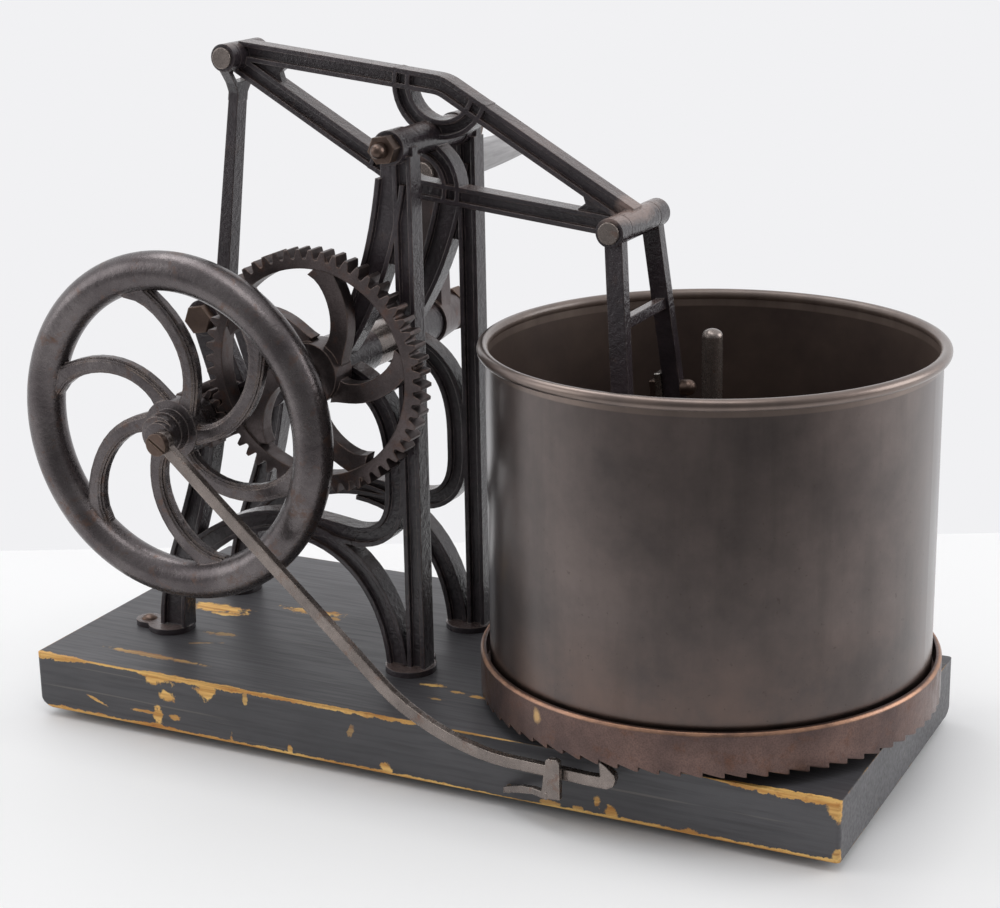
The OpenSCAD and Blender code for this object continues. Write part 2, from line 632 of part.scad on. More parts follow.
// Flywheel shaft group
fly_phase = 48;
hub_back = gear_front - 1;
fly_bend = 0.95;
fly_flare = 2.7;
fly_spoke = spiral(fly_hub_r - 2, fly_r - fly_rim_r * 0.5, fly_sweep, fly_bend);
module spokes(w) {
    for (i = [0:fly_spokes - 1]) rotate([0, 0, fly_phase + i * 360 / fly_spokes])
        polygon(flared(fly_spoke, w, fly_flare));
}
module flywheel() {
    color("#3a3633") difference() {
        union() {
            translate([fly_c.x, -fly_y, fly_c.y]) rotate([90, 0, 0]) rotate_extrude($fn = 96)
                translate([fly_r, 0]) circle(r = fly_rim_r, $fn = 32);
            slab(-fly_y - fly_spoke_t / 2, -fly_y + fly_spoke_t / 2) translate(fly_c)
                spokes(fly_spoke_w - 3.6);
            slab(-fly_y - fly_spoke_t * 0.42, -fly_y + fly_spoke_t * 0.42) translate(fly_c)
                spokes(fly_spoke_w - 1.6);
            slab(-fly_y - fly_spoke_t * 0.24, -fly_y + fly_spoke_t * 0.24) translate(fly_c)
                spokes(fly_spoke_w);
            bar_y(fly_c, fly_hub_r + 3, -fly_y - fly_spoke_t / 2 - 0.6, -fly_y + fly_spoke_t / 2 + 0.6);
            taper_y(fly_c, fly_hub_r - 1.5, fly_hub_r, hub_front, hub_back);
        }
        bar_y(fly_c, shaft_r + fix_fit, -200, 0);
        pin_z(fly_c, hub_back - 4, gear_pin_r + fix_fit, fly_hub_r + 4);
    }
}
module flywheel_shaft() {
    color("#5a4a3a") difference() {
        bar_y(fly_c, shaft_r, ecc_front + 1.5, -cheek_in);
        pin_z(fly_c, hub_back - 4, gear_pin_r + fix_fit, fly_hub_r + 4);
    }
}
module flywheel_pin() { color("#4a3c31") pin_z(fly_c, hub_back - 4, gear_pin_r, fly_hub_r - 0.6); }
module pinion() {
    color("#4d3d33") difference() {
        slab(gear_front, -outer_face - boss_proud - face_gap) translate(fly_c)
            rotate([0, 0, mesh_angle + 180 + 180 / pinion_teeth])
                polygon(gear_outline(gear_module, pinion_teeth, tooth_slack));
        bar_y(fly_c, shaft_r + fix_fit, -200, 0);
    }
}
cheek_r0 = 11;
cheek_r1 = 9;
cheek_bolt_r = 3.5;
cheek_head_across = 13;
cheek_head_t = 5;
cheek_waist = 1;
cheek_relief = 0.8;
module crank_cheek(y0, y1) {
    color("#2d2926") difference() {
        union() {
            bar_y(fly_c, cheek_r0, y0, y1);
            bar_y(crank_c, cheek_r1, y0, y1);
            slab(y0 + cheek_relief, y1 - cheek_relief) translate(fly_c) rotate([0, 0, crank_angle])
                polygon([[0, cheek_r0 - cheek_waist], [crank_throw, cheek_r1 - cheek_waist],
                    [crank_throw, cheek_waist - cheek_r1], [0, cheek_waist - cheek_r0]]);
        }
        bar_y(fly_c, shaft_r + fix_fit, -60, 60);
        bar_y(crank_c, cheek_bolt_r + fix_fit, -60, 60);
    }
}
module near_cheek() { crank_cheek(-cheek_out, -cheek_in); }
module far_cheek() { crank_cheek(cheek_in, cheek_out); }
module far_stub_shaft() {
    color("#5a4a3a") union() {
        bar_y(fly_c, shaft_r, cheek_in, outer_face + boss_proud + 6);
        bar_y(fly_c, shaft_r + 3, outer_face + boss_proud + face_gap, outer_face + boss_proud + 5.5);
    }
}
module cheek_bolts() {
    color("#5a4a3a") for (s = [-1, 1]) mirror([0, s < 0 ? 1 : 0, 0]) {
        bar_y(crank_c, cheek_bolt_r, cheek_in + 0.2, cheek_out + 1);
        hex_y(crank_c, cheek_head_across, cheek_out + 0.02, cheek_out + cheek_head_t, 10);
    }
}
ecc_r = 9.2;
ecc_bolt_r = 2.8;
module pawl_eccentric() {
    color("#54463a") difference() {
        union() {
            bar_y(fly_c, ecc_r, ecc_front + 3.5, hub_front - 0.02);
            bar_y(fly_c + 0.35 * (ecc_c - fly_c), ecc_r - 1.6, ecc_front, ecc_front + 4);
        }
        bar_y(fly_c, shaft_r + fix_fit, ecc_front + 1.4, 0);
        bar_y(ecc_c, ecc_screw_r + fix_fit, ecc_front - 1, ecc_front + 1.2);
    }
}
ecc_screw_r = 2;
module eccentric_screw() {
    color("#6a5a44") union() {
        bar_y(ecc_c, ecc_bolt_r, ecc_front - pawl_t - 2 * face_gap - 0.02, ecc_front - 0.02);
        bar_y(ecc_c, ecc_screw_r, ecc_front - 1, ecc_front + 1.1);
        difference() {
            bar_y(ecc_c, 5.4, ecc_front - pawl_t - 2 * face_gap - 3.2, ecc_front - pawl_t - 2 * face_gap);
            translate([ecc_c.x, ecc_front - pawl_t - 2 * face_gap - 3.2, ecc_c.y]) rotate([0, 35, 0])
                cube([12, 1.8, 1.1], center = true);
        }
    }
}

// Pawl: a flat bar from the eccentric to a claw under the ring
pawl_board_gap = 7.7;
hook_y = board_front - pawl_board_gap - pawl_t / 2;
claw_x = 104;
claw_z = 27.1;
claw_tip_z = flange_z - ecc_throw * (1 - sin(ecc_angle)) - 2;
pawl_turn = atan2(hook_y - pawl_y, claw_x - ecc_c.x);
pawl_knee = [21, 28.2];
pawl_end = [claw_x, claw_z];
knee_run = 36;
knee_in = (pawl_knee - ecc_c) / norm(pawl_knee - ecc_c);
knee_out = (pawl_end - pawl_knee) / norm(pawl_end - pawl_knee);
pawl_path = concat([ecc_c], curve([pawl_knee - knee_run * knee_in, pawl_knee - 0.45 * knee_run * knee_in,
    pawl_knee + 0.45 * knee_run * knee_out, pawl_knee + knee_run * knee_out], 9), [pawl_end]);
pawl_eye_r = 5.4;
claw = [pawl_end + [-9, -pawl_h / 2], pawl_end + [3, -pawl_h / 2 + 0.1], pawl_end + [6.2, -0.6],
    pawl_end + [7.2, 2.6],
    pawl_end + [6.5, 5], [claw_x + 3.2, claw_tip_z - 2.4], [claw_x - 0.7, claw_tip_z],
        [claw_x + 0.1, claw_z + pawl_h / 2 + 0.3],
    pawl_end + [-9, pawl_h / 2]];
module pawl_rod() {
    color("#5b4d43") difference() {
        union() {
            bar_y(ecc_c, pawl_eye_r, pawl_y - pawl_t / 2, pawl_y + pawl_t / 2);
            translate([ecc_c.x, pawl_y, 0]) rotate([0, 0, pawl_turn]) translate([-ecc_c.x, 0, 0])
                slab(-pawl_t / 2 + 0.1, pawl_t / 2 - 0.1) {
                    polygon(ribbon(pawl_path, pawl_h + 0.6, pawl_h));
                    polygon(claw);
                }
        }
        bar_y(ecc_c, ecc_bolt_r + run_fit, pawl_y - 2 * pawl_t, pawl_y + 2 * pawl_t);
    }
}

// Guide: a finger in front of the bar on an arm that is driven into the board
guide_t = 3;
guide_gap = 1.2;
guide_x = 81.5;
guide_foot_z = 16.2;
guide_top_z = 35.6;
guide_front = pawl_y + (guide_x - ecc_c.x) * tan(pawl_turn) - pawl_t / 2 - guide_gap - guide_t;
guide_arm_turn = -25;
guide_arm_half = 1.3;
guide_board_gap = 0.6;
guide_arm_y = guide_front + guide_t / 2 + 0.4;
guide_arm_l = (board_front - guide_board_gap - guide_arm_y - guide_arm_half * cos(guide_arm_turn))
    / -sin(guide_arm_turn);
guide_tang_r = 1.6;
guide_tang_l = 14;
guide_tip = [guide_x - 4 - (guide_arm_l - 1.6) * cos(guide_arm_turn), 10.2];
module pawl_guide() {
    color("#4e443c") union() {
        slab(guide_front, guide_front + guide_t)
            polygon([[guide_x - 4.7, guide_foot_z], [guide_x + 4.4, guide_foot_z + 0.7],
            [guide_x + 4.2, guide_top_z - 1], [guide_x + 3.2, guide_top_z],
                [guide_x - 1.4, guide_top_z - 0.2],
            [guide_x - 2.2, guide_top_z - 1]]);
        translate([guide_x - 4, guide_arm_y, 0]) rotate([0, 0, guide_arm_turn])
            slab(-guide_arm_half, guide_arm_half)
            polygon([[3, 16], [3, 19.4], [-0.26 * guide_arm_l, 18.4], [-0.56 * guide_arm_l, 16.4],
                [-0.82 * guide_arm_l, 13.6], [-guide_arm_l, 11.6], [-guide_arm_l, 8.8],
                    [-0.56 * guide_arm_l, 12.9],
                [-0.22 * guide_arm_l, 15.6]]);
        bar_y(guide_tip, guide_tang_r, guide_arm_y - (guide_arm_l - 1.6) * sin(guide_arm_turn),
            board_front + guide_tang_l);
    }
}

// Walking beam, drawn level about its pivot and then tilted
end_in = 3;
chord_slope = atan2(beam_rise - end_in, beam_arm - 1);
bend_z = beam_rise - beam_bend_r / cos(chord_slope);
function chord(sz) = [for (p = concat([[1 - beam_arm, end_in]],
    arc_points([0, bend_z], beam_bend_r, 90 + chord_slope, 90 - chord_slope, 5),
        [[beam_arm - 1, end_in]])) [p.x, sz * p.y]];
function beam_arc(sz) = arc_points([0, sz * beam_rise], beam_arc_r + beam_bar_w / 2,
    sz > 0 ? 180 : 0, sz > 0 ? 360 : 180, 20);
beam_bars = concat([for (sz = [-1, 1]) chord(sz)], [for (sz = [-1, 1]) beam_arc(sz)]);
beam_hub_r = 7.4;
left_boss_w = rod_eye_in - face_gap;
right_boss_w = fork_eye_in - face_gap;
module walking_beam() {
    color("#1e1c1d") translate([pivot_c.x, 0, pivot_c.y]) rotate([0, beam_tilt, 0]) difference() {
        union() {
            slab(-beam_web / 2, beam_web / 2) {
                for (b = beam_bars) polygon(ribbon(b, beam_bar_w, beam_bar_w));
                for (s = [-1, 1])
                    polygon([[s * beam_arm, 0], [s * (beam_arm - 30), 8.5], [s * (beam_arm - 24), 0],
                        [s * (beam_arm - 30), -8.5]]);
            }
            slab(-beam_t / 2, beam_t / 2)
                for (b = beam_bars, s = [-1, 1]) polygon(edge_ribbon(b, beam_bar_w, beam_bar_w, s));
            bar_y([0, 0], beam_hub_r, -inner_face + face_gap, inner_face - head_boss_front - face_gap);
            bar_y([-beam_arm, 0], end_boss_r, -left_boss_w, left_boss_w);
            bar_y([beam_arm, 0], end_boss_r, -right_boss_w, right_boss_w);
        }
        bar_y([0, 0], pivot_bolt_r + run_fit, -outer_face, outer_face);
        for (s = [-1, 1]) bar_y([s * beam_arm, 0], end_pin_r + run_fit, -2 * right_boss_w, 2 * right_boss_w);
    }
}

// Connecting rod, drawn hanging from its pin and then leaned
rod_eye_r = 9.5;
rod_eye_out = rod_eye_in + rod_eye_w;
rod_neck = 18;
crotch = 12.5;
rod_fork = [[-rod_eye_out, 0], [-rod_eye_out, -4.5], [-rod_t / 2 - 2.9, -crotch - 0.8],
    [-rod_t / 2, -rod_neck],
    [-rod_t / 2, -rod_neck - 4], [rod_t / 2, -rod_neck - 4], [rod_t / 2, -rod_neck],
        [rod_t / 2 + 2.9, -crotch - 0.8],
    [rod_eye_out, -4.5], [rod_eye_out, 0], [rod_eye_in, 0], [rod_eye_in, -end_boss_r - 0.8],
    [5.4, -crotch], [-5.4, -crotch], [-rod_eye_in, -end_boss_r - 0.8], [-rod_eye_in, 0]];
crank_pin_half = cheek_in - face_gap;
module lean_from(c, a) { translate([c.x, 0, c.y]) rotate([0, a, 0]) children(); }
module connecting_rod() {
    color("#2a2422") lean_from(beam_left, rod_lean) difference() {
        union() {
            for (s = [-1, 1]) mirror([0, s < 0 ? 1 : 0, 0])
                bar_y([0, 0], end_boss_r, rod_eye_in, rod_eye_out);
            translate([-rod_w_top / 2 - 0.3, 0, 0]) rotate([90, 0, 90])
                linear_extrude(height = rod_w_top + 0.6) polygon(rod_fork);
            slab(-rod_t / 2, rod_t / 2) {
                polygon([[-rod_w_top / 2, -rod_neck], [rod_w_top / 2, -rod_neck], [rod_w_low / 2, -rod_l + 6],
                    [-rod_w_low / 2, -rod_l + 6]]);
                translate([0, -rod_l]) circle(r = rod_eye_r);
            }
            bar_y([0, -rod_l], rod_eye_r - 1, -6, 6);
        }
        bar_y([0, 0], end_pin_r + fix_fit, -2 * rod_eye_out, 2 * rod_eye_out);
        bar_y([0, -rod_l], crank_pin_r + fix_fit, -2 * rod_t, 2 * rod_t);
    }
}
module end_pin(c, half) {
    color("#6b5b49") union() {
        bar_y(c, end_pin_r, -half - 1, half + 1);
        for (s = [-1, 1]) mirror([0, s < 0 ? 1 : 0, 0]) bar_y(c, end_pin_r + 1.4, half + 0.02, half + 1.6);
    }
}
module rod_pin() { end_pin(beam_left, rod_eye_out); }
module crank_pin() {
    color("#6b5b49") lean_from(beam_left, rod_lean)
        bar_y([0, -rod_l], crank_pin_r, -crank_pin_half, crank_pin_half);
}

// Knife fork, blade and fasteners, drawn hanging from their pin and then leaned
bar_drop = 42;
bolt_drops = [leg_l - 20, leg_l - 7];
function leg_y(d) = leg_top_y + d * tan(leg_splay);
tang_w = 13;
tang_y = leg_y(leg_l - 14);
blade_x = -leg_w / 2 - blade_t - 0.02;
knife_bolt_r = 2.4;
knife_head_r = 3.9;
knife_nut_t = 3.58;
module leg_bolts(r, x0, x1) {
    for (s = [-1, 1], d = bolt_drops) translate([x0, s * leg_y(d), -d]) rotate([0, 90, 0])
        cylinder(r = r, h = x1 - x0);
}
module knife_fork() {
    color("#1c1a1b") lean_from(beam_right, -fork_lean) difference() {
        union() {
            for (s = [-1, 1]) mirror([0, s < 0 ? 1 : 0, 0]) {
                bar_y([0, 0], end_boss_r, fork_eye_in, fork_eye_in + fork_eye_w);
                intersection() {
                    translate([0, leg_y(0), 0]) rotate([leg_splay, 0, 0])
                        translate([-leg_w / 2, -leg_t / 2, -leg_l - 8])
                        cube([leg_w, leg_t, leg_l + 8]);
                    translate([-leg_w, fork_eye_in - 4, -leg_l]) cube([2 * leg_w, 40, leg_l - 1]);
                }
            }
            translate([-2.4, -leg_y(bar_drop), -bar_drop - 2.4]) cube([4.8, 2 * leg_y(bar_drop), 4.8]);
        }
        bar_y([0, 0], end_pin_r + fix_fit, -40, 40);
        leg_bolts(knife_bolt_r + fix_fit, -20, 20);
    }
}
module fork_pin() { end_pin(beam_right, fork_eye_in + fork_eye_w); }
blade_low = -leg_reach;
blade_shoulder = blade_low + blade_h;
blade_edge_h = 9;
tang_top = 28 - leg_l;
module knife_blade() {
    color("#77716a") lean_from(beam_right, -fork_lean) difference() {
        union() {
            translate([blade_x, 0, 0]) rotate([90, 0, 90]) linear_extrude(height = blade_t) {
                polygon([[-blade_w / 2, blade_low + blade_edge_h],
                    [blade_w / 2, blade_low + blade_edge_h], [blade_w / 2, blade_shoulder - 16],
                    [tang_y + tang_w, blade_shoulder], [-tang_y - tang_w, blade_shoulder],
                        [-blade_w / 2, blade_shoulder - 16]]);
                for (s = [-1, 1]) translate([s * tang_y - tang_w / 2, blade_shoulder - 1])
                    square([tang_w, tang_top - blade_shoulder + 1]);
            }
            slab(-blade_w / 2, blade_w / 2) polygon([[blade_x, blade_low + blade_edge_h],
                [blade_x + blade_t, blade_low + blade_edge_h],
                [blade_x + blade_t / 2 + 0.2, blade_low], [blade_x + blade_t / 2 - 0.2, blade_low]]);
        }
        leg_bolts(knife_bolt_r + fix_fit, -4 * leg_w, 4 * leg_w);
    }
}
module knife_bolts() {
    color("#8a8378") lean_from(beam_right, -fork_lean) union() {
        leg_bolts(knife_bolt_r, blade_x - knife_nut_t - 0.8, leg_w / 2 + 1);
        for (s = [-1, 1], d = bolt_drops) translate([leg_w / 2 + 0.02, s * leg_y(d), -d]) rotate([0, 90, 0])
            rotate_extrude() polygon(knife_head_r * [[0, 0], [1, 0], [1, 0.87], [0.87, 1.28],
                [0.56, 1.59], [0.2, 1.72], [0, 1.72]]);
    }
}
module knife_nuts() {
    color("#55493f") lean_from(beam_right, -fork_lean) difference() {
        for (s = [-1, 1], d = bolt_drops) translate([blade_x - knife_nut_t - 0.02, s * leg_y(d) - 4, -d - 4])
            cube([knife_nut_t, 8, 8]);
        leg_bolts(knife_bolt_r + fix_fit, -4 * leg_w, 4 * leg_w);
    }
}

base_board();
base_feet();
near_frame();
far_frame();
frame_screws();
pivot_bolt();
pivot_nut();
centre_post();
post_screws();
pawl_guide();
drum_shell();
drum_bottom();
ratchet_ring();
ring_screws();
drum_hub();
main_shaft();
large_gear();
gear_pin();
hand_crank();
crank_nut();
grip_spindle();
handle_grip();
flywheel();
flywheel_shaft();
flywheel_pin();
pinion();
near_cheek();
far_cheek();
far_stub_shaft();
cheek_bolts();
pawl_eccentric();
eccentric_screw();
pawl_rod();
walking_beam();
connecting_rod();
rod_pin();
crank_pin();
knife_fork();
fork_pin();
knife_blade();
knife_bolts();
knife_nuts();
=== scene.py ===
"""Looks of the hand-cranked meat chopper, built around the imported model."""
import json
import math

import bpy
from mathutils import Matrix, Vector

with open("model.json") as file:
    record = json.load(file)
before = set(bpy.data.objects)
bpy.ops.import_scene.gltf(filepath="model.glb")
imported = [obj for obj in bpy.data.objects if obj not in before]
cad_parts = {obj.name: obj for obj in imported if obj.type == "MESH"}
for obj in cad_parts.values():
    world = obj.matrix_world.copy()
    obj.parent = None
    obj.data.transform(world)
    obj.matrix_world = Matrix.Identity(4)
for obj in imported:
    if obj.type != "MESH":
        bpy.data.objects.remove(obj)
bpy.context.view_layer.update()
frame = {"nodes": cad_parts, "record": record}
nodes = frame["nodes"]
scene = bpy.context.scene

MM = 0.001

# Camera fitted to the photograph
CAMERA_AT = (0.4535, -0.8941, 0.4380)
CAMERA_YAW = math.radians(-26.475)
CAMERA_PITCH = math.radians(16.718)
CAMERA_ROLL = math.radians(-1.03)
CAMERA_CLIP = (0.05, 20.0)
FOCAL_PX = 2175.5
IMAGE_W = 1000
SENSOR_MM = 36.0
# Level directions as the camera sees them
AHEAD = Vector((math.sin(CAMERA_YAW), math.cos(CAMERA_YAW), 0.0))
RIGHT = Vector((math.cos(CAMERA_YAW), -math.sin(CAMERA_YAW), 0.0))


def node_box(name):
    """Lowest and highest corner of a node's mesh."""
    corners = nodes[name].bound_box
    return Vector(map(min, *corners)), Vector(map(max, *corners))


# Height of the drum's rolled rim, and middle of the wall below it
RIM_H = 8.4 * MM
DRUM_WALL_R = 102.15 * MM

# Sizes of the part that the marks on it follow
board_low, board_high = node_box("base_board")
drum_low, drum_high = node_box("drum_shell")
ring_low, ring_high = node_box("ratchet_ring")
BOARD_L = board_high.x - board_low.x
BOARD_FRONT = board_low.y
BOARD_LOW = board_low.z
BOARD_TOP = board_high.z
DRUM_X = (drum_low.x + drum_high.x) / 2
RIM_LOW = drum_high.z - RIM_H
RING_TOP = ring_high.z
RING_R = (ring_high.y - ring_low.y) / 2

# Edges that are rounded in the shading only
EDGE_R = 0.9 * MM
WOOD_EDGE_R = 0.8 * MM
BEVEL_SAMPLES = 6
# Turn of the normal at which an edge starts to be bare and is wholly bare, on metal and on paint
RUBBED_TURN = (0.03, 0.3)
CHIPPED_TURN = (0.05, 0.2)
# Span that holds most of a noise's values
NOISE_SPAN = (0.3, 0.7)
# How far a spot's ragged border strays, as a share of its size
SPOT_TORN = 0.55
# Sockets of the Mix node: factor and two inputs, then the output, for numbers and for colours
MIX_NUMBER_IN = (0, 2, 3)
MIX_NUMBER_OUT = 0
MIX_COLOR_IN = (0, 6, 7)
MIX_COLOR_OUT = 2


def rgb(*values):
    """Linear colour from the 0 to 255 values of a picture."""
    unit = [v / 255 for v in values]
    return tuple(v / 12.92 if v <= 0.04045 else ((v + 0.055) / 1.055) ** 2.4 for v in unit)


def add_camera():
    """Places the camera of the photograph."""
    data = bpy.data.cameras.new("camera")
    cam = bpy.data.objects.new("camera", data)
    scene.collection.objects.link(cam)
    ahead = Vector((math.sin(CAMERA_YAW) * math.cos(CAMERA_PITCH),
                    math.cos(CAMERA_YAW) * math.cos(CAMERA_PITCH),
                    -math.sin(CAMERA_PITCH)))
    up = RIGHT.cross(ahead)
    cos_roll = math.cos(CAMERA_ROLL)
    sin_roll = math.sin(CAMERA_ROLL)
    x_axis = cos_roll * RIGHT + sin_roll * up
    y_axis = cos_roll * up - sin_roll * RIGHT
    place = Matrix((x_axis, y_axis, -ahead)).transposed().to_4x4()
    place.translation = Vector(CAMERA_AT)
    cam.matrix_world = place
    data.sensor_width = SENSOR_MM
    data.lens = FOCAL_PX / IMAGE_W * SENSOR_MM
    data.clip_start, data.clip_end = CAMERA_CLIP
    scene.camera = cam


class Graph:
    """Adds nodes to one node tree and links them."""

    def __init__(self, tree):
        self.tree = tree

    def add(self, kind):
        return self.tree.nodes.new(kind)

    def put(self, value, socket):
        """Links a socket, or sets a number or colour on it."""
        if hasattr(value, "node"):
            self.tree.links.new(value, socket)
        elif isinstance(value, (int, float)) or socket.type == "VECTOR":
            socket.default_value = value
        else:
            socket.default_value = (*value, 1.0)

    def split(self, vector):
        """X, Y and Z of a vector."""
        parts = self.add("ShaderNodeSeparateXYZ")
        self.put(vector, parts.inputs[0])
        return parts.outputs["X"], parts.outputs["Y"], parts.outputs["Z"]

    def math(self, op, a, b=None, c=None):
        m = self.add("ShaderNodeMath")
        m.operation = op
        for socket, value in zip(m.inputs, (a, b, c)):
            if value is not None:
                self.put(value, socket)
        return m.outputs[0]

    def plus(self, a, b):
        return self.math("ADD", a, b)

    def minus(self, a, b):
        return self.math("SUBTRACT", a, b)

    def times(self, a, b):
        return self.math("MULTIPLY", a, b)

    def most(self, *values):
        """The largest of several values."""
        top = values[0]
        for value in values[1:]:
            top = self.math("MAXIMUM", top, value)
        return top

    def length(self, a, b):
        """Length of the line with these two parts."""
        return self.math("SQRT", self.plus(self.times(a, a), self.times(b, b)))

    def vector(self, op, a, b=None):
        """A number worked out from one or two vectors."""
        v = self.add("ShaderNodeVectorMath")
        v.operation = op
        self.put(a, v.inputs[0])
        if b is not None:
            self.put(b, v.inputs[1])
        return v.outputs["Value"]

    def band(self, value, low, high, to=(0.0, 1.0)):
        """Runs from one value to the other as the input goes from low to high."""
        m = self.add("ShaderNodeMapRange")
        self.put(value, m.inputs["Value"])
        self.put(low, m.inputs["From Min"])
        self.put(high, m.inputs["From Max"])
        self.put(to[0], m.inputs["To Min"])
        self.put(to[1], m.inputs["To Max"])
        return m.outputs["Result"]

    def profile(self, value, stops):
        """A grey value that follows a list of stops."""
        r = self.add("ShaderNodeValToRGB")
        elements = r.color_ramp.elements
        while len(elements) < len(stops):
            elements.new(1.0)
        for e, (pos, level) in zip(elements, stops):
            e.position = pos
            e.color = (level, level, level, 1.0)
        self.put(value, r.inputs["Fac"])
        return r.outputs["Color"]

    def mix(self, fac, a, b):
        """Mixes two colours."""
        m = self.add("ShaderNodeMix")
        m.data_type = "RGBA"
        for index, value in zip(MIX_COLOR_IN, (fac, a, b)):
            self.put(value, m.inputs[index])
        return m.outputs[MIX_COLOR_OUT]

    def blend(self, fac, a, b):
        """Mixes two numbers."""
        m = self.add("ShaderNodeMix")
        for index, value in zip(MIX_NUMBER_IN, (fac, a, b)):
            self.put(value, m.inputs[index])
        return m.outputs[MIX_NUMBER_OUT]

    def rays(self, *kinds):
        """1 for light rays of any of these kinds."""
        path = self.add("ShaderNodeLightPath")
        return self.most(*(path.outputs[kind] for kind in kinds))


class Shader(Graph):
    """Nodes of one material, in the coordinates of the object that has it."""

    def __init__(self, name):
        self.mat = bpy.data.materials.new(name)
        self.mat.use_nodes = True
        super().__init__(self.mat.node_tree)
        self.bsdf = self.tree.nodes["Principled BSDF"]
        self.coord = self.add("ShaderNodeTexCoord").outputs["Object"]
        self.bevel = None

    def placed(self, at, size, turn):
        """Object coordinates seen from a place, in units of a size."""
        m = self.add("ShaderNodeMapping")
        m.vector_type = "TEXTURE"
        self.put(at, m.inputs["Location"])
        self.put(turn, m.inputs["Rotation"])
        self.put(size, m.inputs["Scale"])
        self.put(self.coord, m.inputs["Vector"])
        return m.outputs["Vector"]

    def noise(self, scale, detail, rough, stretch=(1, 1, 1), shift=(0, 0, 0)):
        """Noise with about this many waves to the metre."""
        m = self.add("ShaderNodeMapping")
        self.put(stretch, m.inputs["Scale"])
        self.put(shift, m.inputs["Location"])
        self.put(self.coord, m.inputs["Vector"])
        n = self.add("ShaderNodeTexNoise")
        self.put(scale, n.inputs["Scale"])
        self.put(detail, n.inputs["Detail"])
        self.put(rough, n.inputs["Roughness"])
        self.put(m.outputs["Vector"], n.inputs["Vector"])
        return n.outputs["Fac"]

    def rounded(self, radius):
        """Normal that turns smoothly over the edges."""
        if self.bevel is None:
            self.bevel = self.add("ShaderNodeBevel")
            self.bevel.samples = BEVEL_SAMPLES
            self.put(radius, self.bevel.inputs["Radius"])
        return self.bevel.outputs["Normal"]

    def edge(self, low, high):
        """1 on sharp edges, where the rounded normal turns away from the real one."""
        normal = self.add("ShaderNodeNewGeometry").outputs["Normal"]
        same = self.vector("DOT_PRODUCT", self.rounded(EDGE_R), normal)
        return self.band(same, 1 - low, 1 - high)

    def spot(self, ragged, at, size, turn=(0, 0, 0), soft=0.3):
        """1 inside a ragged oval, in millimetres."""
        away = self.vector("LENGTH", self.placed([v * MM for v in at], [v * MM for v in size], turn))
        torn = self.band(ragged, *NOISE_SPAN, (-SPOT_TORN, SPOT_TORN))
        return self.band(self.plus(away, torn), 1.0, 1.0 - soft)

    def set_coat(self, weight, rough):
        """A thin clear layer, such as oil or varnish."""
        self.put(weight, self.bsdf.inputs["Coat Weight"])
        self.put(rough, self.bsdf.inputs["Coat Roughness"])

    def show_glow(self, share, color):
        """Mixes a steady colour into the surface."""
        glow = self.add("ShaderNodeEmission")
        self.put(color, glow.inputs["Color"])
        both = self.add("ShaderNodeMixShader")
        self.put(share, both.inputs[0])
        self.put(self.bsdf.outputs[0], both.inputs[1])
        self.put(glow.outputs[0], both.inputs[2])
        self.put(both.outputs[0], self.tree.nodes["Material Output"].inputs["Surface"])

    def finish(self, color, rough, metallic, height, bump, depth, round_r=0.0):
        """Sets the colour, roughness, bump and rounded edges."""
        self.put(color, self.bsdf.inputs["Base Color"])
        self.put(rough, self.bsdf.inputs["Roughness"])
        self.put(metallic, self.bsdf.inputs["Metallic"])
        bumps = self.add("ShaderNodeBump")
        self.put(bump, bumps.inputs["Strength"])
        self.put(depth, bumps.inputs["Distance"])
        self.put(height, bumps.inputs["Height"])
        if round_r > 0:
            self.put(self.rounded(round_r), bumps.inputs["Normal"])
        self.put(bumps.outputs["Normal"], self.bsdf.inputs["Normal"])
        return self.mat


# Step of the noise over which a rust patch reaches full strength
RUST_FADE = 0.13


def iron(name, tones, worn, rust, rough, metallic, wear,
         rust_from=0.56, grain=0.25, lumps=300, bare=(), painted_top_light=0.0):
    """Iron or steel: dark and light tones, a sandy grain, rust in patches and edges rubbed bare.

    The roughness runs between two values, and the noises for rust and lumps differ by piece.
    Places in bare take the worn colour too, and the last setting, above 0, paints the faces that look up
    lighter as painted light from above.
    """
    s = Shader(name)
    dark, light = tones
    broad = s.noise(42, detail=5, rough=0.6)
    sand = s.noise(1400, detail=2, rough=0.6)
    lump = s.noise(lumps, detail=4, rough=0.55, shift=(1, 4, 2))
    tone = s.mix(s.band(broad, 0.36, 0.66), dark, light)
    tone = s.mix(s.band(sand, 0.35, 0.7, (0.0, 0.45)), tone, dark)
    rusty = s.noise(120, detail=6, rough=0.68, shift=(3, 1, 2))
    patch = s.band(rusty, rust_from, rust_from + RUST_FADE)
    tone = s.mix(patch, tone, rust)
    touched = s.noise(90, detail=4, rough=0.7, shift=(7, 2, 5))
    rubbed = s.times(s.edge(*RUBBED_TURN), s.band(touched, 0.38, 0.6, (0.0, wear)))
    # Faces that look up are painted lighter in the worn colour: painted light from above.
    if painted_top_light > 0:
        _, _, rise = s.split(s.add("ShaderNodeTexCoord").outputs["Normal"])
        up = s.times(s.band(rise, 0.55, 0.95), s.band(broad, 0.35, 0.65, (0.3 * painted_top_light, painted_top_light)))
        tone = s.mix(up, tone, worn)
    # Bare places take the worn colour; on the beam's right end this is also a painted highlight.
    for at, size in bare:
        rubbed = s.most(rubbed, s.times(s.spot(broad, at, size, soft=0.5), 0.9))
    color = s.mix(rubbed, tone, worn)
    dull = s.plus(s.times(patch, 0.5), s.times(s.band(lump, *NOISE_SPAN), 0.5))
    height = s.plus(s.times(sand, 0.35), lump)
    return s.finish(color, s.blend(dull, *rough), metallic, height,
                    bump=grain, depth=0.5 * MM, round_r=EDGE_R)


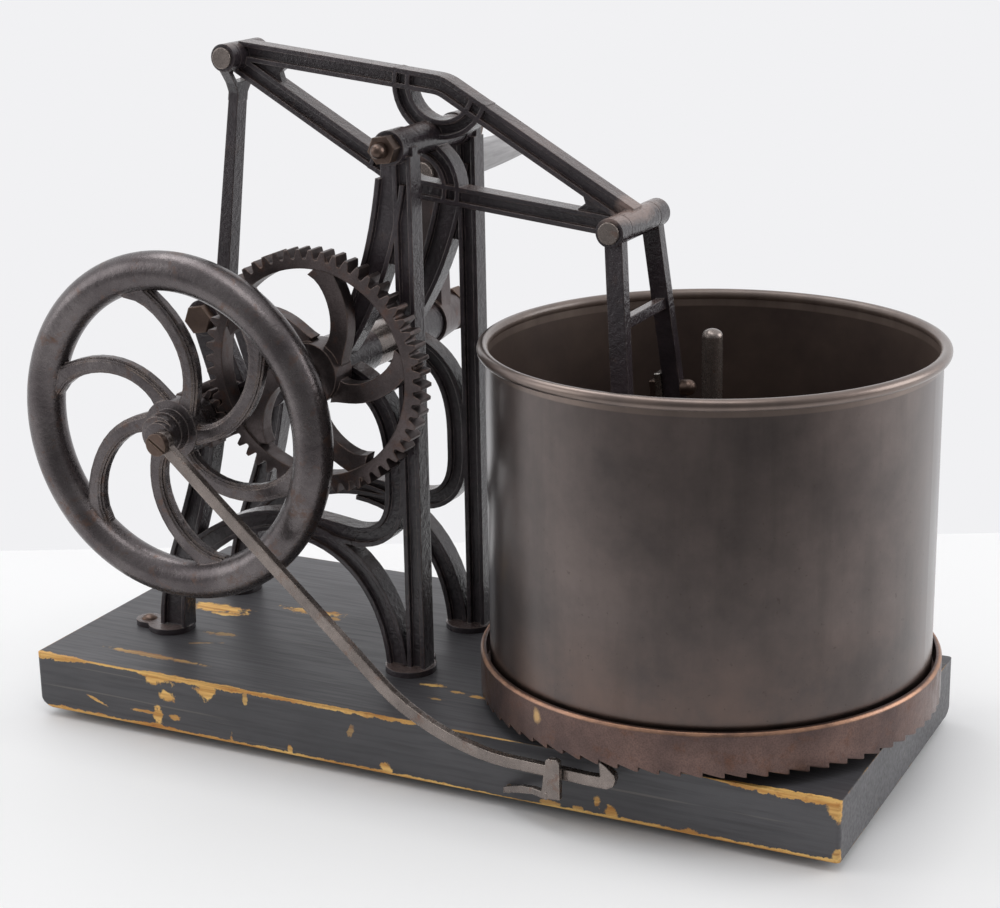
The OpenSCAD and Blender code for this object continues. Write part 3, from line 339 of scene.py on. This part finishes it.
# Bare wood on the board: place, half sizes in millimetres, turn in degrees and strength
TOP_MARKS = (
    (-160, 1, 19, 5.5, 0, 1.0),
    (-150, -5, 9, 2.5, 8, 0.9),
    (-112, 16, 18, 4.5, 4, 0.85),
    (-98, 11, 8, 2.5, 0, 0.7),
    (-137, -30, 10, 2.5, 10, 0.45),
    (-152, -69, 29, 2.4, 0, 0.6),
    (-138, -44, 8, 0.8, 25, 0.5),
    (-7, -46, 7, 2.0, 10, 0.9),
    (7, -49, 4, 1.5, 0, 0.8),
    (20, -50.5, 6, 1.8, 0, 0.9),
    (3, -60, 4, 1.2, 0, 0.5),
)
FRONT_MARKS = (
    (-131, 22.7, 5, 3.0, 0, 1.0),
    (-137.5, 11.5, 2.8, 7.0, 0, 1.0),
    (-146, 12.6, 9, 0.8, 0, 0.9),
    (-127, 12.5, 4, 1.6, 0, 0.9),
    (-173.7, 13.6, 6, 0.8, 20, 0.9),
    (-137, 30.5, 8, 3.0, 0, 1.0),
    (-108, 29.5, 6, 4.5, 0, 1.0),
    (-86, 29, 1.5, 3.5, 0, 0.7),
    (-28, 23.7, 2, 3.0, 30, 0.4),
    (-10, 7.6, 3, 3.0, 0, 1.0),
    (-62, 7.5, 1.5, 3.2, 0, 0.9),
    (-95, 7.5, 1.2, 2.8, 0, 0.8),
    (74, 6.3, 5, 1.9, 0, 0.8),
    (88, 6.3, 3, 1.8, 0, 0.8),
    (97.3, 11.5, 1.8, 3.4, 0, 0.9),
    (104, 7.6, 3.2, 3.6, 0, 1.0),
    (141, 6.0, 4, 2.2, 0, 0.9),
    (207, 29, 4, 5, 0, 0.9),
    (208, 8, 2.5, 4, 0, 0.8),
)
# How far a mark reaches through the face it lies on, in millimetres
MARK_DEPTH = 3
# Width of the bare line along the two front edges: place along the board, then share of the unit
TOP_LINE = (
    (0.0, 0.7), (0.045, 0.66), (0.075, 0.2), (0.14, 0.24), (0.165, 0.6), (0.24, 0.56),
    (0.36, 0.36), (0.45, 0.42), (0.51, 0.36), (0.525, 0.0), (0.555, 0.0), (0.565, 0.2),
    (0.625, 0.13), (0.645, 0.0), (0.847, 0.0), (0.871, 0.2), (0.907, 0.6), (1.0, 0.72),
)
LOW_LINE = (
    (0.0, 0.1), (0.03, 0.5), (0.12, 0.32), (0.17, 0.6), (0.21, 0.33), (0.36, 0.33), (0.5, 0.34),
    (0.56, 0.26), (0.64, 0.1), (0.69, 0.26), (0.75, 0.4), (0.84, 0.34), (0.94, 0.4), (1.0, 0.45),
)
LINE_UNIT = 4 * MM
# Least and greatest width of the ragged line, and how far its border is blurred outward and inward
LINE_RAGGED = (0.4, 1.45)
LINE_BLUR = (-0.15 * MM, 0.2 * MM)
# Colours of the board
PAINT_TONES = (rgb(68, 67, 70), rgb(88, 87, 90))
PAINT_GRAIN = rgb(48, 47, 49)
PAINT_SCRATCH = rgb(128, 121, 114)
WOOD_TONES = (rgb(196, 135, 66), rgb(250, 205, 123))
WOOD_STAIN = rgb(171, 105, 59)


def board_paint():
    """Charcoal paint over wood, rubbed through along the edges and in scuffs."""
    s = Shader("board_paint")
    x, y, z = s.split(s.coord)
    grain = s.noise(500, detail=4, rough=0.62, stretch=(0.05, 1, 1))
    broad = s.noise(16, detail=5, rough=0.6, stretch=(0.5, 1, 1))
    ragged = s.noise(190, detail=5, rough=0.7)
    along = s.math("MULTIPLY_ADD", x, 1 / BOARD_L, 0.5)
    ahead = s.minus(y, BOARD_FRONT)

    def bare_line(level, stops):
        """1 near the front edge at this level."""
        near = s.length(ahead, s.minus(z, level))
        width = s.times(s.profile(along, stops), LINE_UNIT)
        width = s.times(width, s.band(ragged, *NOISE_SPAN, LINE_RAGGED))
        return s.band(s.minus(width, near), *LINE_BLUR)

    bare = s.most(bare_line(BOARD_TOP, TOP_LINE), bare_line(BOARD_LOW, LOW_LINE))
    for px, py, rx, ry, turn, level in TOP_MARKS:
        at = (px, py, BOARD_TOP / MM)
        mark = s.spot(ragged, at, (rx, ry, MARK_DEPTH), (0, 0, math.radians(turn)))
        bare = s.most(bare, s.times(mark, level))
    for px, pz, rx, rz, turn, level in FRONT_MARKS:
        at = (px, BOARD_FRONT / MM, pz)
        mark = s.spot(ragged, at, (rx, MARK_DEPTH, rz), (0, math.radians(turn), 0))
        bare = s.most(bare, s.times(mark, level))
    chips = s.band(s.noise(60, detail=5, rough=0.7, shift=(4, 9, 1)), 0.5, 0.58, (0.0, 0.85))
    bare = s.most(bare, s.times(s.edge(*CHIPPED_TURN), chips))

    lines = s.noise(300, detail=2, rough=0.5, stretch=(0.02, 1, 1), shift=(5, 0, 0))
    scratch = s.band(lines, 0.68, 0.72, (0.0, 0.35))
    paint = s.mix(s.band(broad, 0.35, 0.7), *PAINT_TONES)
    paint = s.mix(s.band(grain, 0.45, 0.75, (0.0, 0.5)), paint, PAINT_GRAIN)
    paint = s.mix(scratch, paint, PAINT_SCRATCH)
    wood = s.mix(s.band(grain, 0.35, 0.65), *WOOD_TONES)
    wood = s.mix(s.band(ragged, 0.55, 0.7, (0.0, 0.6)), wood, WOOD_STAIN)
    rough = s.blend(bare, s.band(grain, *NOISE_SPAN, (0.34, 0.52)), 0.7)
    height = s.plus(s.times(grain, 0.5), s.times(broad, 0.6))
    height = s.minus(height, s.times(bare, 0.8))
    return s.finish(s.mix(bare, paint, wood), rough, metallic=0.0, height=height,
                    bump=0.35, depth=0.5 * MM, round_r=EDGE_R)


# Soldered seam of the drum: its place, and the half angles where it fades out and is full
SEAM_ANGLE = math.radians(-145.5)
SEAM_HALF = (0.02, 0.012)
# Half the step over which the drum's outside becomes its inside
WALL_BLUR = 0.15 * MM
# Heights between which rust and specks grow downward
RUST_FALL = (105 * MM, 62 * MM)
SPECK_FALL = (190 * MM, 70 * MM)
RIM_BLUR = 0.6 * MM
# Colours of the tin
TIN_TONES = (rgb(72, 64, 62), rgb(105, 93, 89))
TIN_RUNS = rgb(64, 57, 54)
TIN_RUST = rgb(112, 82, 66)
TIN_SPECKS = rgb(59, 46, 39)
TIN_SEAM = rgb(59, 39, 34)
# Inside of the drum: browner tin, its dark tone partly painted shade
TIN_INSIDE_AND_SHADE = (rgb(71, 58, 54), rgb(93, 78, 70))
TIN_RIM = rgb(128, 112, 103)


def tinplate():
    """Old tin: dark mottled metal, a soldered seam, rust low down and a browner, duller inside whose dark
    tone is partly painted shade.
    """
    s = Shader("tinplate")
    x, y, z = s.split(s.coord)
    dx = s.minus(x, DRUM_X)
    inside = s.band(s.length(dx, y), DRUM_WALL_R + WALL_BLUR, DRUM_WALL_R - WALL_BLUR)
    angle = s.math("ARCTAN2", y, dx)
    seam = s.band(s.math("ABSOLUTE", s.minus(angle, SEAM_ANGLE)), *SEAM_HALF)
    mottle = s.noise(17, detail=7, rough=0.62)
    runs = s.noise(70, detail=4, rough=0.6, stretch=(1, 1, 0.12))
    speck = s.noise(420, detail=3, rough=0.6)
    low = s.band(z, *RUST_FALL)
    tone = s.mix(s.band(mottle, 0.34, 0.68), *TIN_TONES)
    tone = s.mix(s.band(runs, 0.5, 0.75, (0.0, 0.4)), tone, TIN_RUNS)
    tone = s.mix(s.times(low, s.band(mottle, 0.4, 0.7, (0.05, 0.5))), tone, TIN_RUST)
    spots = s.times(s.band(speck, 0.66, 0.71), s.band(z, *SPECK_FALL, (0.12, 0.6)))
    tone = s.mix(spots, tone, TIN_SPECKS)
    tone = s.mix(s.times(seam, 0.75), tone, TIN_SEAM)
    # The inside is browner and duller, and its dark tone is partly painted shade.
    inner_and_shade = s.mix(s.band(mottle, 0.35, 0.65), *TIN_INSIDE_AND_SHADE)
    tone = s.mix(inside, tone, inner_and_shade)
    bead = s.times(s.band(z, RIM_LOW, RIM_LOW + RIM_BLUR), s.band(runs, 0.25, 0.7, (0.35, 0.9)))
    tone = s.mix(bead, tone, TIN_RIM)
    rough = s.blend(inside, s.band(mottle, *NOISE_SPAN, (0.27, 0.4)), 0.5)
    metallic = s.blend(inside, 0.95, 0.35)
    height = s.plus(mottle, s.times(speck, 0.06))
    s.set_coat(weight=0.7, rough=0.22)
    return s.finish(tone, rough, metallic, height, bump=0.12, depth=1.0 * MM)


# Distance from the drum's axis and place along the board from which brown iron is the ring and no gear
RING_FROM_R = (98 * MM, 100 * MM)
RING_FROM_X = (0.0, 4 * MM)
# Depths below the ring's top and inside its widest face where the lip, rubbed and painted with a
# highlight, starts and is full
LIP_BELOW = (1.6 * MM, 0.9 * MM)
LIP_INSIDE = (1.8 * MM, 1.1 * MM)
# Tan spot on the ring's front: centre and half sizes in millimetres
TAN_SPOT = ((72.6, -97.4, 52.2), (2.2, 4, 3.8))
# Colours of the brown iron
GEAR_TONES = (rgb(80, 73, 73), rgb(109, 99, 98))
RING_TONES = (rgb(91, 75, 72), rgb(121, 98, 91))
BROWN_RUST = rgb(114, 80, 64)
BROWN_SAND = rgb(59, 48, 46)
BROWN_RUBBED = rgb(146, 123, 109)
RING_LIP_RUB_AND_HIGHLIGHT = rgb(182, 139, 112)
# Lip of the ring: rubbed iron with a painted highlight
RING_TAN = rgb(217, 178, 123)


def ring_iron():
    """Brown iron of the ratchet ring and gears, rubbed along the ring's top and painted there with a
    highlight.
    """
    s = Shader("rusty_cast_iron")
    x, y, z = s.split(s.coord)
    around = s.length(s.minus(x, DRUM_X), y)
    ring = s.times(s.band(around, *RING_FROM_R), s.band(x, *RING_FROM_X))
    lip_rub_and_highlight = s.times(ring, s.band(z, *(RING_TOP - depth for depth in LIP_BELOW)))
    lip_rub_and_highlight = s.times(lip_rub_and_highlight, s.band(around, *(RING_R - depth for depth in LIP_INSIDE)))
    broad = s.noise(38, detail=5, rough=0.62)
    patchy = s.noise(95, detail=6, rough=0.68, shift=(3, 1, 2))
    sand = s.noise(1400, detail=2, rough=0.6)
    cloudy = s.band(broad, 0.36, 0.66)
    tone = s.mix(ring, s.mix(cloudy, *GEAR_TONES), s.mix(cloudy, *RING_TONES))
    tone = s.mix(s.band(patchy, 0.55, 0.7, (0.0, 0.65)), tone, BROWN_RUST)
    tone = s.mix(s.band(sand, 0.4, 0.7, (0.0, 0.4)), tone, BROWN_SAND)
    rubbed = s.times(s.edge(*RUBBED_TURN), s.band(patchy, 0.35, 0.55, (0.15, 0.7)))
    tone = s.mix(rubbed, tone, BROWN_RUBBED)
    # The ring's top lip is painted lighter: rubbed iron and a painted highlight.
    tone = s.mix(s.times(lip_rub_and_highlight, s.band(patchy, 0.3, 0.6, (0.3, 0.85))), tone, RING_LIP_RUB_AND_HIGHLIGHT)
    tone = s.mix(s.times(s.spot(patchy, *TAN_SPOT, soft=0.8), 0.8), tone, RING_TAN)
    rough = s.blend(s.band(patchy, 0.4, 0.7), 0.28, 0.46)
    height = s.plus(s.times(sand, 0.35), s.noise(320, detail=4, rough=0.55))
    return s.finish(tone, rough, metallic=0.8, height=height, bump=0.35, depth=0.5 * MM, round_r=EDGE_R)


# Colours of the drum's wooden bottom and of the hand grip
BOTTOM_TONES = (rgb(80, 59, 43), rgb(123, 96, 71))
BOTTOM_STAIN = rgb(55, 43, 35)
GRIP_TONES = (rgb(141, 139, 140), rgb(173, 171, 172))
GRIP_SMEAR = rgb(112, 106, 104)


def old_wood():
    """Wooden bottom of the drum, dark with use."""
    s = Shader("plain_wood")
    rings = s.noise(260, detail=5, rough=0.6, stretch=(0.06, 1, 1))
    stain = s.noise(24, detail=5, rough=0.6)
    tone = s.mix(s.band(rings, 0.35, 0.68), *BOTTOM_TONES)
    tone = s.mix(s.band(stain, 0.45, 0.7, (0.0, 0.7)), tone, BOTTOM_STAIN)
    rough = s.band(rings, *NOISE_SPAN, (0.6, 0.8))
    return s.finish(tone, rough, metallic=0.0, height=rings, bump=0.3, depth=0.5 * MM, round_r=WOOD_EDGE_R)


def grip_paint():
    """Light grey paint on the hand grip, rubbed darker along its length."""
    s = Shader("grey_grip")
    lines = s.noise(420, detail=4, rough=0.6, stretch=(1, 0.06, 1))
    smear = s.noise(60, detail=5, rough=0.65)
    tone = s.mix(s.band(lines, 0.35, 0.7), *GRIP_TONES)
    tone = s.mix(s.band(smear, 0.5, 0.72, (0.0, 0.6)), tone, GRIP_SMEAR)
    rough = s.band(smear, *NOISE_SPAN, (0.38, 0.55))
    return s.finish(tone, rough, metallic=0.0, height=lines, bump=0.2, depth=0.4 * MM, round_r=WOOD_EDGE_R)


# Places on the beam's right end where the black is rubbed off and painted lighter, also as the highlight
# atop its boss: centre and half sizes in millimetres
BEAM_BARE_AND_HIGHLIGHT = (
    ((77.5, -6, 262), (12, 34, 7)),
)

# Metals and rubber that share one recipe
IRONS = {
    "foot_rubber": dict(
        tones=(rgb(39, 34, 31), rgb(59, 52, 46)), worn=rgb(80, 71, 62), rust=rgb(55, 46, 38),
        rough=(0.55, 0.75), metallic=0.0, wear=0.4),
    # The black iron's faces that look up carry painted light from above.
    "japanned_iron": dict(
        tones=(rgb(44, 39, 42), rgb(67, 59, 63)), worn=rgb(135, 116, 109), rust=rgb(71, 58, 56),
        rough=(0.1, 0.25), metallic=0.0, wear=0.7, rust_from=0.6, grain=0.85, lumps=400,
        bare=BEAM_BARE_AND_HIGHLIGHT, painted_top_light=0.5),
    "dark_cast_iron": dict(
        tones=(rgb(87, 81, 82), rgb(117, 111, 111)), worn=rgb(160, 144, 132), rust=rgb(103, 84, 76),
        rough=(0.24, 0.38), metallic=0.85, wear=0.7, grain=0.35, lumps=380),
    "worn_steel": dict(
        tones=(rgb(116, 108, 104), rgb(154, 143, 137)), worn=rgb(203, 189, 178), rust=rgb(123, 100, 89),
        rough=(0.22, 0.38), metallic=0.8, wear=0.9, rust_from=0.57, grain=0.2, lumps=500),
    "blade_steel": dict(
        tones=(rgb(146, 141, 137), rgb(182, 178, 171)), worn=rgb(223, 219, 212), rust=rgb(119, 96, 80),
        rough=(0.22, 0.4), metallic=1.0, wear=0.9, rust_from=0.6, grain=0.12, lumps=500),
    "fasteners": dict(
        tones=(rgb(84, 71, 65), rgb(119, 100, 90)), worn=rgb(171, 146, 125), rust=rgb(107, 80, 64),
        rough=(0.28, 0.46), metallic=0.85, wear=0.9, grain=0.2, lumps=500),
}


def dress_nodes():
    """Gives each node the material of its slot in the record."""
    materials = {slot: iron(slot, **look) for slot, look in IRONS.items()}
    materials["board_paint"] = board_paint()
    materials["rusty_cast_iron"] = ring_iron()
    materials["tinplate"] = tinplate()
    materials["plain_wood"] = old_wood()
    materials["grey_grip"] = grip_paint()
    slot_of = {p["node"]: p["material_slot"] for p in frame["record"]["subparts"]}
    for name, obj in nodes.items():
        obj.data.materials.clear()
        obj.data.materials.append(materials[slot_of[name]])


# Distance from the camera to the table's far edge, and how far the stage reaches
TABLE_END = 1.27
STAGE_HALF_W = 6.0
# Ground and room behind the table: the colour that is seen, and the one that takes light
BACKDROP = rgb(241, 241, 243)
BACK_LIT = (0.85, 0.85, 0.86)
BACK_ROUGH = 0.9
# White table: its two tones, and how far toward the camera its reflection starts to darken and is darkest
FLOOR_TONES = ((0.9, 0.9, 0.903), (0.92, 0.92, 0.922))
FLOOR_ROUGH = 0.5
FLOOR_DARK = (0.1, 0.1, 0.1)
DARK_FROM = (0.2, 0.6)
DARK_SHARE = 0.85
# White that the camera sees without shading: its share, and how far from the board it starts and is full
GLOW_WHITE = (0.97, 0.97, 0.972)
FLOOR_GLOW = 0.4
GLOW_FROM = (0.0, 0.045)


def floor_white():
    """White table that grows dark in reflections toward the camera, where the room is dark."""
    s = Shader("floor_white")
    mirrored = s.rays("Is Glossy Ray")
    toward = s.vector("DOT_PRODUCT", s.coord, -AHEAD)
    dark = s.times(mirrored, s.band(toward, *DARK_FROM, (0.0, DARK_SHARE)))
    cloudy = s.band(s.noise(3, detail=3, rough=0.5), *NOISE_SPAN)
    white = s.mix(cloudy, *FLOOR_TONES)
    s.put(s.mix(dark, white, FLOOR_DARK), s.bsdf.inputs["Base Color"])
    s.put(FLOOR_ROUGH, s.bsdf.inputs["Roughness"])
    x, y, _ = s.split(s.coord)
    past_end = s.minus(s.math("ABSOLUTE", x), BOARD_L / 2)
    past_side = s.plus(s.math("ABSOLUTE", y), BOARD_FRONT)
    away = s.band(s.most(past_end, past_side), *GLOW_FROM, (0.0, FLOOR_GLOW))
    seen = s.rays("Is Camera Ray", "Is Glossy Ray", "Is Transmission Ray")
    s.show_glow(s.times(s.times(seen, away), s.minus(1.0, dark)), GLOW_WHITE)
    return s.mat


def back_white():
    """Plain ground behind the table, which the camera and reflections see in one colour."""
    s = Shader("back_white")
    s.put(BACK_LIT, s.bsdf.inputs["Base Color"])
    s.put(BACK_ROUGH, s.bsdf.inputs["Roughness"])
    s.show_glow(s.rays("Is Camera Ray", "Is Glossy Ray", "Is Transmission Ray"), BACKDROP)
    return s.mat


def quad(name, corners, mat):
    """Adds a flat four-sided piece of the stage."""
    mesh = bpy.data.meshes.new(name)
    mesh.from_pydata(corners, [], [(0, 1, 2, 3)])
    mesh.materials.append(mat)
    obj = bpy.data.objects.new(name, mesh)
    scene.collection.objects.link(obj)


def add_stage():
    """Adds the table and the ground behind it, both square to the camera."""
    side = STAGE_HALF_W * RIGHT
    end = Vector((CAMERA_AT[0], CAMERA_AT[1], 0)) + TABLE_END * AHEAD
    near = end - STAGE_HALF_W * AHEAD
    quad("floor", [near - side, near + side, end + side, end - side], floor_white())
    far = end + STAGE_HALF_W * AHEAD
    quad("backdrop", [end - side, end + side, far + side, far - side], back_white())


# Light of the room, which falls off as its direction turns toward the camera
ROOM_BRIGHT = 0.74
ROOM_DARK = 0.22
ROOM_TURN = (0.1, 0.9)
# Lamps: name, place, target, width and height in metres, and power in watts
LAMPS = (
    ("window", (-1.7, -1.05, 0.9), (0, 0, 0.12), (1.1, 1.3), 6.2),
    ("side", (1.45, 0.75, 0.75), (0.1, 0, 0.12), (1.0, 1.0), 9),
    ("top", (-0.1, -0.2, 1.6), (0, -0.05, 0.1), (1.9, 0.6), 6.5),
    ("back", (-0.75, 0.25, 1.3), (0, 0, 0.1), (0.8, 0.5), 2.5),
)


def area_light(name, at, target, size, power):
    """Adds a soft lamp that points at a target."""
    data = bpy.data.lights.new(name, "AREA")
    data.shape = "RECTANGLE"
    data.size, data.size_y = size
    data.energy = power
    obj = bpy.data.objects.new(name, data)
    scene.collection.objects.link(obj)
    obj.location = at
    direction = Vector(target) - Vector(at)
    obj.rotation_euler = direction.to_track_quat("-Z", "Y").to_euler()


def add_light():
    """Lights the object by the room and the lamps; the camera sees the room as a pale backdrop."""
    world = bpy.data.worlds.new("studio")
    scene.world = world
    world.use_nodes = True
    w = Graph(world.node_tree)
    sky = world.node_tree.nodes["Background"]
    toward = w.vector("DOT_PRODUCT", w.add("ShaderNodeTexCoord").outputs["Generated"], -AHEAD)
    bright = w.blend(w.rays("Is Glossy Ray"), ROOM_BRIGHT, BACKDROP[0])
    level = w.band(toward, *ROOM_TURN, (bright, ROOM_DARK))
    shown = w.rays("Is Camera Ray", "Is Transmission Ray")
    w.put([v / BACKDROP[0] for v in BACKDROP], sky.inputs["Color"])
    w.put(w.blend(shown, level, BACKDROP[0]), sky.inputs["Strength"])
    for lamp in LAMPS:
        area_light(*lamp)


dress_nodes()
add_camera()
add_stage()
add_light()
scene.view_settings.view_transform = "Standard"
